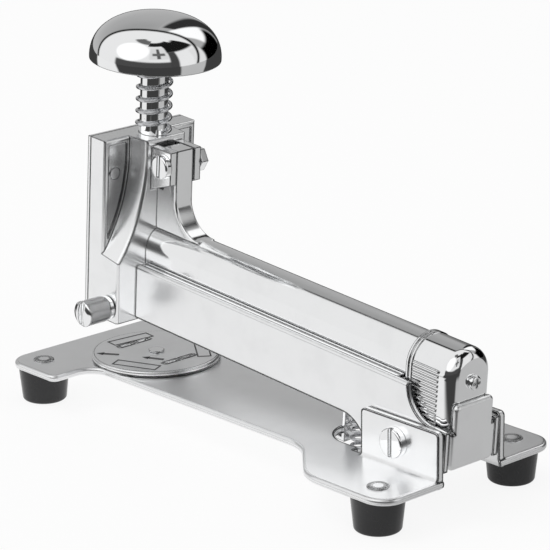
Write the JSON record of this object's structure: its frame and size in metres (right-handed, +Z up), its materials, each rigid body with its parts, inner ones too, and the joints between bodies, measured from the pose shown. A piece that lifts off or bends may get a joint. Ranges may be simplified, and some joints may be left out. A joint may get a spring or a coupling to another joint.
{
  "type": "desk stapler",
  "caption": "Chrome desk stapler with a spring-back plunger head on a pivoting arm, a turning crimp disc, a footed stamped base and a pull-out staple magazine.",
  "frame": {"origin": "on the surface the feet stand on, below the middle of the base plate", "axes": "+X along the base from the striking head to the pivot, +Y to the far side, away from the thumb screw, +Z up"},
  "size_m": [0.1875, 0.0788, 0.1367],
  "materials": {
    "chrome": "polished plating",
    "spring_steel": "bright",
    "rubber": "glossy moulded"
  },
  "bodies": {
    "base": {"base_plate": "chrome", "foot_front_near": "rubber", "foot_front_far": "rubber", "foot_rear_near": "rubber", "foot_rear_far": "rubber", "foot_rivets": "chrome", "pivot_screw": "chrome", "pivot_nut": "chrome", "spring_strap": "chrome", "lift_spring": "spring_steel", "anvil_pivot_rivet": "chrome", "anvil_washer": "chrome"},
    "anvil": {"anvil_disc": "chrome"},
    "arm": {"arm_channel": "chrome", "arm_cover": "chrome", "head_casting": "chrome", "front_plate": "chrome", "head_rivets": "chrome", "clamp_bolt": "chrome", "clamp_nut": "chrome", "stop_hook": "chrome", "return_spring": "spring_steel"},
    "plunger": {"plunger_shaft": "chrome", "crosshead": "spring_steel", "driver_blade": "spring_steel", "knob_shell": "chrome", "knob_hub": "chrome"},
    "thumb_screw": {"thumb_screw": "chrome"},
    "drawer": {"end_cap": "chrome", "cap_screw": "chrome", "tail_plate": "chrome", "guide_rod": "spring_steel", "staple_rail": "spring_steel", "staple_strip": "spring_steel", "feed_spring": "spring_steel"},
    "follower": {"staple_pusher": "spring_steel"}
  },
  "joints": [
    {"name": "arm_press", "type": "hinge", "parent": "base", "child": "arm", "pos_m": [0.074, 0, 0.02265], "axis": [0, -1, 0], "range_deg": [0, 5], "stiffness_Nm_per_rad": 4, "springref_deg": -20.05, "deforming": ["lift_spring"]},
    {"name": "anvil_turn", "type": "hinge", "parent": "base", "child": "anvil", "pos_m": [-0.05845, 0, 0.0152], "axis": [0, 0, 1], "continuous": true},
    {"name": "plunger_strike", "type": "slide", "parent": "arm", "child": "plunger", "axis": [-0.0706, 0, -0.9975], "range_m": [0, 0.012], "stiffness_N_per_m": 800, "springref_m": -0.02, "deforming": ["return_spring"]},
    {"name": "thumb_screw_turn", "type": "hinge", "parent": "arm", "child": "thumb_screw", "pos_m": [-0.05934, -0.025, 0.0367], "axis": [0, 1, 0], "continuous": true},
    {"name": "drawer_pull", "type": "slide", "parent": "arm", "child": "drawer", "axis": [0.9975, 0, -0.0706], "range_m": [0, 0.065]},
    {"name": "staple_feed", "type": "slide", "parent": "drawer", "child": "follower", "axis": [0.9975, 0, -0.0706], "range_m": [0, 0.035], "stiffness_N_per_m": 100, "springref_m": -0.02, "deforming": ["feed_spring"]}
  ]
}
